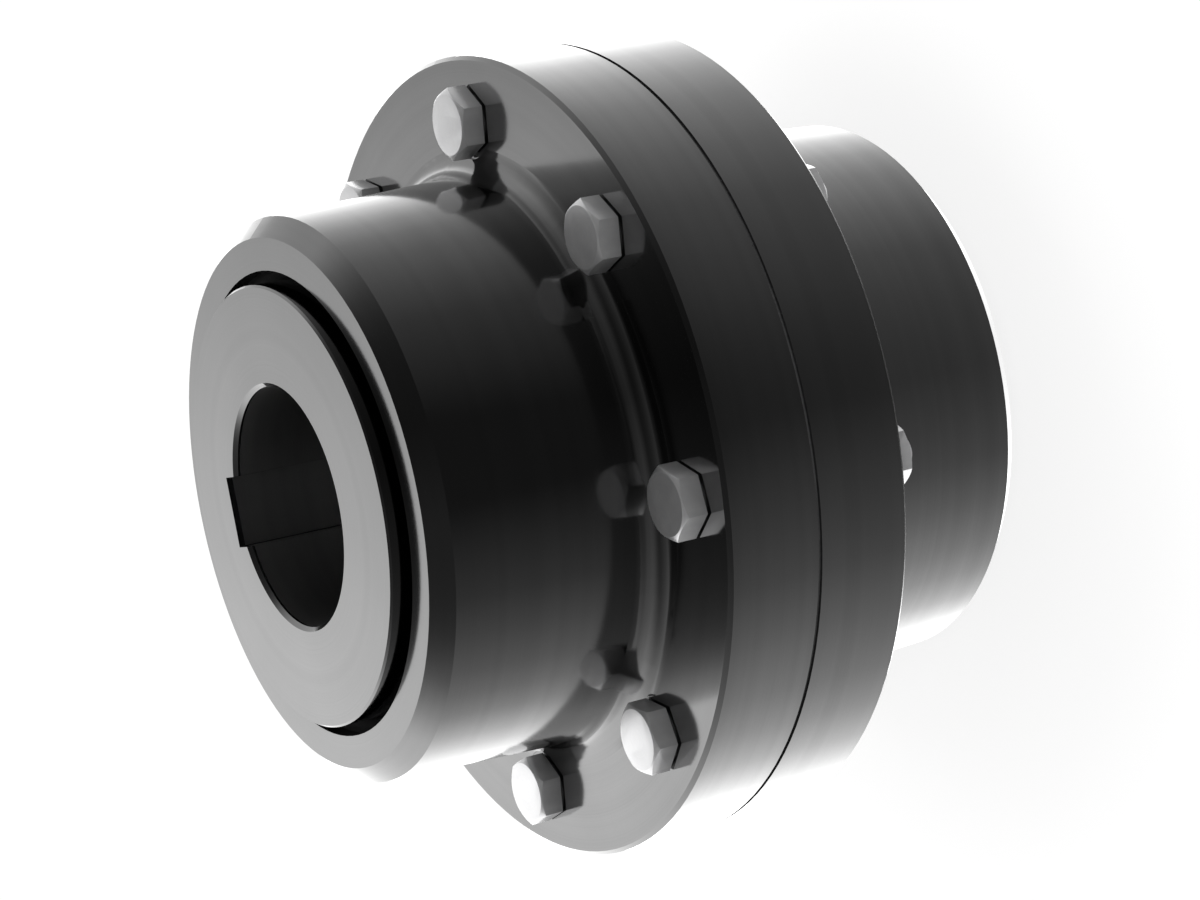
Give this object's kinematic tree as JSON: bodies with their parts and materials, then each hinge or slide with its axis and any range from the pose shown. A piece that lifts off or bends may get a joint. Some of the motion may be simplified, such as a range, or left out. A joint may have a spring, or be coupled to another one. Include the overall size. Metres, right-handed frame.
{
  "type": "gear coupling",
  "caption": "Flanged gear coupling for two shafts: bored hubs with crowned teeth inside two bolted one-piece sleeves with long barrels.",
  "frame": {"origin": "on the shafts' axis, at the end face of the rear hub, on which the coupling stands", "axes": "+Z along the shafts towards the front hub; +Y towards the keyways"},
  "size_m": [0.205, 0.205, 0.175],
  "materials": {
    "machined_steel": "turned and blackened, satin gloss",
    "sleeve_steel": "turned and blackened, gloss",
    "fastener_steel": "bright, zinc plated",
    "seal_rubber": "matt",
    "gasket_sheet": "matt"
  },
  "bodies": {
    "rear_hub": {"rear_hub": "machined_steel"},
    "housing": {"front_sleeve": "sleeve_steel", "rear_sleeve": "sleeve_steel", "front_hub_seal": "seal_rubber", "rear_hub_seal": "seal_rubber", "flange_gasket": "gasket_sheet", "flange_bolts": "fastener_steel", "flange_nuts": "fastener_steel"},
    "front_hub": {"front_hub": "machined_steel"}
  },
  "joints": [
    {"name": "rear_mesh_tilt", "type": "hinge", "parent": "rear_hub", "child": "housing", "pos_m": [0, 0, 0.074], "axis": [1, 0, 0], "range_deg": [-1.5, 1.5], "deforming": ["rear_hub_seal"]},
    {"name": "front_mesh_tilt", "type": "hinge", "parent": "housing", "child": "front_hub", "pos_m": [0, 0, 0.101], "axis": [1, 0, 0], "range_deg": [-1.5, 1.5], "deforming": ["front_hub_seal"]}
  ]
}
